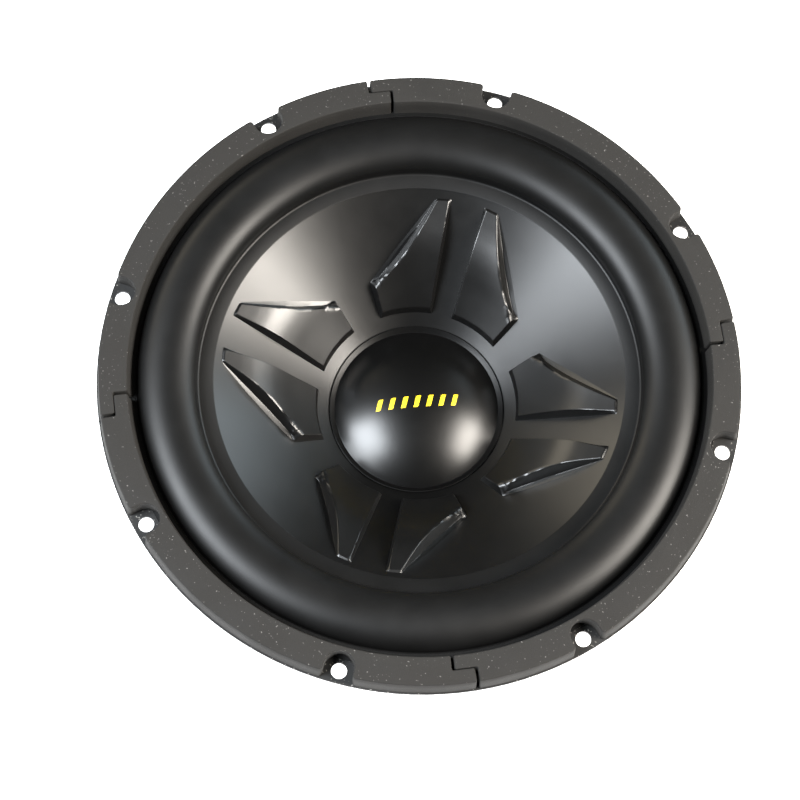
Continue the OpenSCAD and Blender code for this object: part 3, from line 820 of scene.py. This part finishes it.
def makeStripes(s):
    # slanted bars in a row, laid on the dome as thin closed plates
    pitch = (s["length"] - s["bar"]) / (s["count"] - 1)
    grids = []
    t, w = np.linspace(-0.5, 0.5, 9)[:, None], np.linspace(-0.5, 0.5, 5)[None]
    turn = math.radians(s["turn"])
    for k in range(s["count"]):
        x = (k - (s["count"] - 1) / 2) * pitch + w * s["bar"] + t * s["lean"]
        y = t * s["tall"] + 0 * w
        place = np.stack([x * math.cos(turn) - y * math.sin(turn),
                          x * math.sin(turn) + y * math.cos(turn)], axis=-1)
        z = domeHeight(np.linalg.norm(place, axis=-1))[..., None]
        top = np.concatenate([place, z + s["lift"]], axis=-1)
        edge = np.ones(top.shape[:2], bool)
        edge[1:-1, 1:-1] = False
        top[edge, 2] -= s["lift"] * 2
        under = np.concatenate([place, z - s["lift"]], axis=-1)
        grids += [(top, False, False), (under, False, False)]
    mesh = meshFrom("capStripes", grids)
    addPiece("capStripes", mesh, "cone", finishes["stripePaint"], (), 30)


makeCap(capShape)
makeStripes(stripeShape)
print("dust cap made")


# basket: the frame's own pressed shape with softened edges, and a pressed rib along each spoke
basketShape = {
    "edge": 0.45,
    "ribs": 8,
    "blockSpoke": 6,  # the spoke at -Y, which carries the terminal block and has no rib
    "ribLow": (97.6, -57.5),  # ends of a rib: distance from the axis, height
    "ribHigh": (130.3, -16.5),
    "ribW": 5.0,  # half its width
    "ribH": 2.0,
    "ribSunk": 0.4,
}


def makeBasket(s):
    bevelledCopy("basketSheet", "basket", "frame", finishes["blackPaint"], s["edge"], 2, 30)
    # rib: rows of half ellipses that shrink to nothing at both ends, and a flat back sunk in the sheet
    low, high = np.array(s["ribLow"]), np.array(s["ribHigh"])
    run = (high - low) / np.linalg.norm(high - low)
    out = np.array([run[1], -run[0]])
    u = np.linspace(0, 1, 33)[:, None]
    size = np.sqrt(np.clip(1 - np.abs(2 * u - 1) ** 8, 0, 1))
    a = np.linspace(0, np.pi, 17)[None]
    width = s["ribW"] * size * np.cos(a)
    height = s["ribH"] * size * np.sin(a) - s["ribSunk"]
    r = low[0] + (high - low)[0] * u + out[0] * height
    z = low[1] + (high - low)[1] * u + out[1] * height
    rib = np.stack([r, width + 0 * r, z], axis=-1)
    back = rib.copy()
    back[..., 0] = low[0] + (high - low)[0] * u - out[0] * s["ribSunk"]
    back[..., 2] = low[1] + (high - low)[1] * u - out[1] * s["ribSunk"]
    grids = []
    for k in range(s["ribs"]):
        c, n = math.cos(2 * math.pi * k / s["ribs"]), math.sin(2 * math.pi * k / s["ribs"])
        turn = np.array([[c, -n, 0], [n, c, 0], [0, 0, 1]])
        if k != s["blockSpoke"]:
            grids += [(rib @ turn.T, False, False), (back @ turn.T, False, False)]
    mesh = meshFrom("basketRibs", grids)
    addPiece("basketRibs", mesh, "frame", finishes["blackPaint"], (), 60)


makeBasket(basketShape)
print("basket made")


# spider: waved cloth between the coil former and the basket's shelf
spiderShape = {
    "innerR": 25.75,
    "firstR": 30.75,
    "lastR": 73.0,
    "outerR": 85.9,
    "middleZ": -69.5,
    "amplitude": 1.6,
    "waves": 5,
    "thickness": 0.8,
    "flange": 0.38,  # thickness where it is pressed to the shelf
    "segments": 216,
}


def makeSpider(s):
    t = np.linspace(0, 1, s["waves"] * 16 + 1)
    wave = np.stack([s["firstR"] + (s["lastR"] - s["firstR"]) * t,
                     s["middleZ"] + s["amplitude"] * np.sin(2 * np.pi * s["waves"] * t)], axis=1)
    line = np.concatenate([[[s["innerR"], s["middleZ"]]], wave, [[s["lastR"] + 1.5, s["middleZ"]],
                                                                 [s["outerR"], s["middleZ"]]]])
    thick = np.where(line[:, :1] > s["lastR"] + 1, s["flange"], s["thickness"])
    low = line + outward(line, False) * thick
    mesh = meshFrom("spiderWaves", [lathe(np.concatenate([line, low[::-1]]), s["segments"])])
    piece = bendingMesh(mesh)
    mesh.materials.append(finishes["spiderCloth"])
    mesh.set_sharp_from_angle(angle=math.radians(60))
    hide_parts("spider")


makeSpider(spiderShape)
print("spider made")


# motor: plate, magnet and yoke turned with eased edges, the rubber boot and the vent's woven screen
motorShape = {
    "plate": [(27.1, -98.0), (60.0, -98.0), (60.0, -90.0), (27.1, -90.0)],
    "magnet": [(32.1, -123.0), (72.5, -123.0), (72.5, -98.0), (32.1, -98.0)],
    "yoke": [(14.0, -131.0), (70.0, -131.0), (70.0, -123.0), (24.2, -123.0), (24.2, -88.0), (9.0, -88.0),
             (9.0, -129.8), (14.0, -129.8)],
    "boot": [(18.0, -133.5), (69.1, -133.5), (75.1, -127.5), (75.1, -101.0), (72.6, -101.0), (72.6, -123.0),
             (70.1, -123.0), (70.1, -131.0), (18.0, -131.0)],
    "bootEdges": [0.8, 4.0, 4.0, 0.9, 0.9, 0, 0, 0, 0.5],
    "steelEdge": 0.5,
    "magnetEdge": 1.0,
}
screenShape = {
    "rimOut": 13.85,
    "rimIn": 12.3,
    "z": -130.4,
    "wire": 0.22,  # radius
    "pitch": 1.5,
    "wave": 0.2,
}


def turned(name, profile, edges, body, material, replaced, segments=192):
    mesh = meshFrom(name, [lathe(rounded(profile, edges, 4), segments)])
    return addPiece(name, mesh, body, material, replaced, 35)


def makeMotor(s):
    turned("topPlate", s["plate"], s["steelEdge"], "frame",
           finishes["zincSteel"], ("top_plate",))
    turned("magnetRing", s["magnet"], s["magnetEdge"], "frame",
           finishes["ferrite"], ("ferrite_magnet",))
    turned("yokeSteel", s["yoke"], s["steelEdge"], "frame", finishes["zincSteel"], ("yoke",))
    turned("magnetBoot", s["boot"], s["bootEdges"], "frame",
           finishes["bootRubber"], ("magnet_boot",))
    bevelledCopy("plateScrews", "plate_screws", "frame", finishes["springSteel"], 0.35)


def makeScreen(s):
    a = np.linspace(0, 2 * np.pi, 13)[:-1]
    middle, half = (s["rimOut"] + s["rimIn"]) / 2, (s["rimOut"] - s["rimIn"]) / 2
    ring = np.stack([middle + half * np.cos(a), s["z"] + 0.55 * np.sin(a)], axis=1)
    grids = [lathe(ring, 96)]
    reach = int(s["rimIn"] / s["pitch"])
    for k in range(-reach, reach + 1):
        across = k * s["pitch"]
        half = math.sqrt(middle**2 - across**2)
        along = np.arange(-half, half + 0.01, s["pitch"] / 4)
        for turned90 in (False, True):
            sign = (1 if k % 2 else -1) * (1 if turned90 else -1)
            z = s["z"] + sign * s["wave"] * np.cos(np.pi * along / s["pitch"])
            flat = (along, 0 * along + across) if turned90 else (0 * along + across, along)
            grids.append(tubeGrid(np.stack([*flat, z], axis=1), s["wire"], 6))
    mesh = meshFrom("ventScreen", grids, 0.0005)
    addPiece("ventScreen", mesh, "frame", finishes["screenPlastic"], ("vent_screen",), 60)


makeMotor(motorShape)
makeScreen(screenShape)
print("motor made")


# voice coil on its former, with the paper collar
coilShape = {
    "former": [(24.9, -107.0), (25.3, -107.0), (25.3, -62.4), (24.9, -62.4)],
    "collar": [(25.32, -81.5), (25.7, -81.5), (25.7, -67.4), (25.32, -67.4)],
    "coilIn": 25.32,
    "coilOut": 26.5,
    "coilLow": -106.0,
    "coilHigh": -82.0,
    "turns": 48,
}


def makeCoil(s):
    turned("coilFormer", s["former"], 0.1, "cone",
           finishes["formerSheet"], ("coil_former",), 120)
    turned("formerCollar", s["collar"], 0.1, "cone",
           finishes["kraftPaper"], ("former_collar",), 120)
    # winding: a row of half rounds, one for each turn of wire
    wire = (s["coilHigh"] - s["coilLow"]) / s["turns"] / 2
    a = np.linspace(-np.pi / 2, np.pi / 2, 6)[None, :-1]
    z = s["coilLow"] + wire * (1 + 2 * np.arange(s["turns"]))[:, None] + wire * np.sin(a)
    r = s["coilOut"] - wire + wire * np.cos(a) + 0 * z
    winding = np.stack([r.ravel(), z.ravel()], axis=1)
    ends = [[s["coilOut"] - wire, s["coilHigh"]], [s["coilIn"], s["coilHigh"]], [s["coilIn"], s["coilLow"]]]
    mesh = meshFrom("voiceCoil", [lathe(np.concatenate([winding, ends]), 120)])
    addPiece("voiceCoil", mesh, "cone", finishes["copperWire"], ("voice_coil",), 60)


makeCoil(coilShape)
print("coil made")


# terminal block with its spring buttons, contacts and rivets
blockShape = {
    "blockEdge": 0.9,
    "buttonEdge": 0.6,
    "contactEdge": 0.12,
    "rivetEdge": 0.5,
    "buttonX": 8.5,
    "buttonY": -127.24,
    "springR": 2.3,
    "springWire": 0.3,  # radius
    "springLow": -41.65,
    "springHigh": -35.35,
    "springTurns": 4,
    "pocketTop": -35.0,
    "springKeep": 3 / 7,
}


def makeBlock(s):
    bevelledCopy("terminalBlock", "terminal_block", "frame",
                 finishes["blockPlastic"], s["blockEdge"])
    bevelledCopy("blockRivets", "block_rivets", "frame",
                 finishes["zincSteel"], s["rivetEdge"], 4)
    for colour, side in (("red", 1), ("black", -1)):
        bevelledCopy(colour + "Button", colour + "_button", colour + "_button_body",
                     finishes[colour + "Plastic"], s["buttonEdge"])
        bevelledCopy(colour + "Contact", colour + "_contact", "frame",
                     finishes["tinnedBrass"], s["contactEdge"], 2)
        a = np.linspace(0, 2 * np.pi * s["springTurns"], 20 * s["springTurns"] + 1)
        rise = smoothStep(a / a[-1]) * 0.35 + a / a[-1] * 0.65
        path = np.stack([side * s["buttonX"] + s["springR"] * np.cos(a),
                         s["buttonY"] + s["springR"] * np.sin(a),
                         s["springLow"] + (s["springHigh"] - s["springLow"]) * rise], axis=1)
        mesh = meshFrom(colour + "Spring", [tubeGrid(path, s["springWire"], 10)], 0.0005)
        spring = addPiece(colour + "Spring", mesh, "frame", finishes["springSteel"],
                          (colour + "_spring",), 60)
        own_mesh(spring)


makeBlock(blockShape)
print("terminal block made")


# tinsel leads: three strands twisted together from a contact to its pad on the back of the cone
leadShape = {
    "route": [(8.5, -124.6, -28.4), (8.9, -125, -26.6), (10.4, -125.2, -25.2), (12.6, -124, -24.9),
              (14.4, -121, -26.4), (15.4, -116, -29.8), (15.8, -110, -34), (15.6, -103, -39.2),
              (15, -94, -46), (14, -85, -52), (12.6, -76, -56.5), (11, -67, -59.6), (9.6, -59, -61.4),
              (8.5, -52, -62.4), (7.8, -46, -62.8), (7.6, -41.6, -61.4), (7.2, -39, -58.3)],
    "strand": 0.52,  # radius
    "strands": 3,
    "offset": 0.48,
    "lay": 5.0,  # length of one twist
    "points": 420,
    "padEdge": 0.6,
}


def makeLeads(s):
    for colour, side in (("red", 1), ("black", -1)):
        path = curveThrough(s["route"], s["points"]) * [side, 1, 1]
        run = np.gradient(path, axis=0)
        length = np.cumsum(np.linalg.norm(run, axis=1))
        run /= np.linalg.norm(run, axis=1)[:, None]
        a = np.cross(run, [1.0, 0, 0])
        a /= np.linalg.norm(a, axis=1)[:, None]
        b = np.cross(run, a)
        grids = []
        for k in range(s["strands"]):
            turn = (2 * np.pi * (length / s["lay"] + k / s["strands"]))[:, None]
            strand = path + s["offset"] * (np.cos(turn) * a + np.sin(turn) * b)
            grids.append(tubeGrid(strand, s["strand"], 8))
        mesh = meshFrom(colour + "TinselLead", grids, 0.0005)
        lead = bpy.data.objects.new(mesh.name, mesh)
        bpy.context.scene.collection.objects.link(lead)
        mesh.materials.append(finishes["tinselCopper"])
        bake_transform(lead)
        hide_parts(colour + "_tinsel_lead")
    bevelledCopy("leadAnchors", "lead_anchors", "cone", finishes["solder"], s["padEdge"], 4)


makeLeads(leadShape)
print("leads made")


# floor, light and view
studio = {
    "leftLight": {"turn": -160.0, "rise": 46.0, "size": 0.75, "power": 62.0, "colour": (0.90, 0.95, 1.0)},
    "rightLight": {"turn": -7.0, "rise": 37.0, "size": 0.75, "power": 70.0, "colour": (1.0, 0.94, 0.86)},
    "backRight": {"turn": 42.0, "rise": 17.0, "size": 0.8, "power": 12.0, "colour": (0.80, 0.93, 1.0)},
    "backLeft": {"turn": 140.0, "rise": 17.0, "size": 0.8, "power": 8.0, "colour": (1.0, 0.90, 0.72)},
    "distance": 1.5,
    "sky": 0.02,
    "page": 1.0,  # brightness of the sky as the camera sees it
    "floorColour": (0.93, 0.93, 0.93),
    "glow": 0.85,
}


def makeStudio(s):
    scene = bpy.context.scene
    scene.view_settings.view_transform = "Standard"
    world = bpy.data.worlds.new("studio")
    scene.world = world
    world.use_nodes = True
    tree = world.node_tree
    background = tree.nodes["Background"]
    background.inputs["Color"].default_value = (1, 1, 1, 1)
    cameraRay = tree.nodes.new("ShaderNodeLightPath").outputs["Is Camera Ray"]
    seen = mathNode(tree, "MULTIPLY", cameraRay, s["page"] - s["sky"])
    tree.links.new(mathNode(tree, "ADD", seen, s["sky"]), background.inputs["Strength"])
    for name in ("leftLight", "rightLight", "backRight", "backLeft"):
        data = bpy.data.lights.new(name, "AREA")
        data.shape = "RECTANGLE"
        data.size = s[name]["size"]
        data.size_y = s[name]["size"]
        data.energy = s[name]["power"]
        data.color = s[name]["colour"]
        lamp = bpy.data.objects.new(name, data)
        scene.collection.objects.link(lamp)
        turn, rise = math.radians(s[name]["turn"] + cameraSettings["spin"]), math.radians(s[name]["rise"])
        way = Vector((math.cos(turn) * math.cos(rise), math.sin(turn) * math.cos(rise), math.sin(rise)))
        lamp.location = way * s["distance"]
        lamp.rotation_euler = way.to_track_quat("Z", "Y").to_euler()
    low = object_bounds()[0][2]
    mesh = bpy.data.meshes.new("floor")
    far = 40.0
    square = [(-far, -far, low), (far, -far, low), (far, far, low), (-far, far, low)]
    mesh.from_pydata(square, [], [(0, 1, 2, 3)])
    floor = bpy.data.objects.new("floor", mesh)
    scene.collection.objects.link(floor)
    material = bpy.data.materials.new("floorPaper")
    material.use_nodes = True
    shader = material.node_tree.nodes["Principled BSDF"]
    shader.inputs["Base Color"].default_value = (*s["floorColour"], 1)
    shader.inputs["Roughness"].default_value = 1.0
    shader.inputs["Emission Color"].default_value = (1, 1, 1, 1)
    shader.inputs["Emission Strength"].default_value = s["glow"]
    mesh.materials.append(material)
    floor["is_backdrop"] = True


makeStudio(studio)
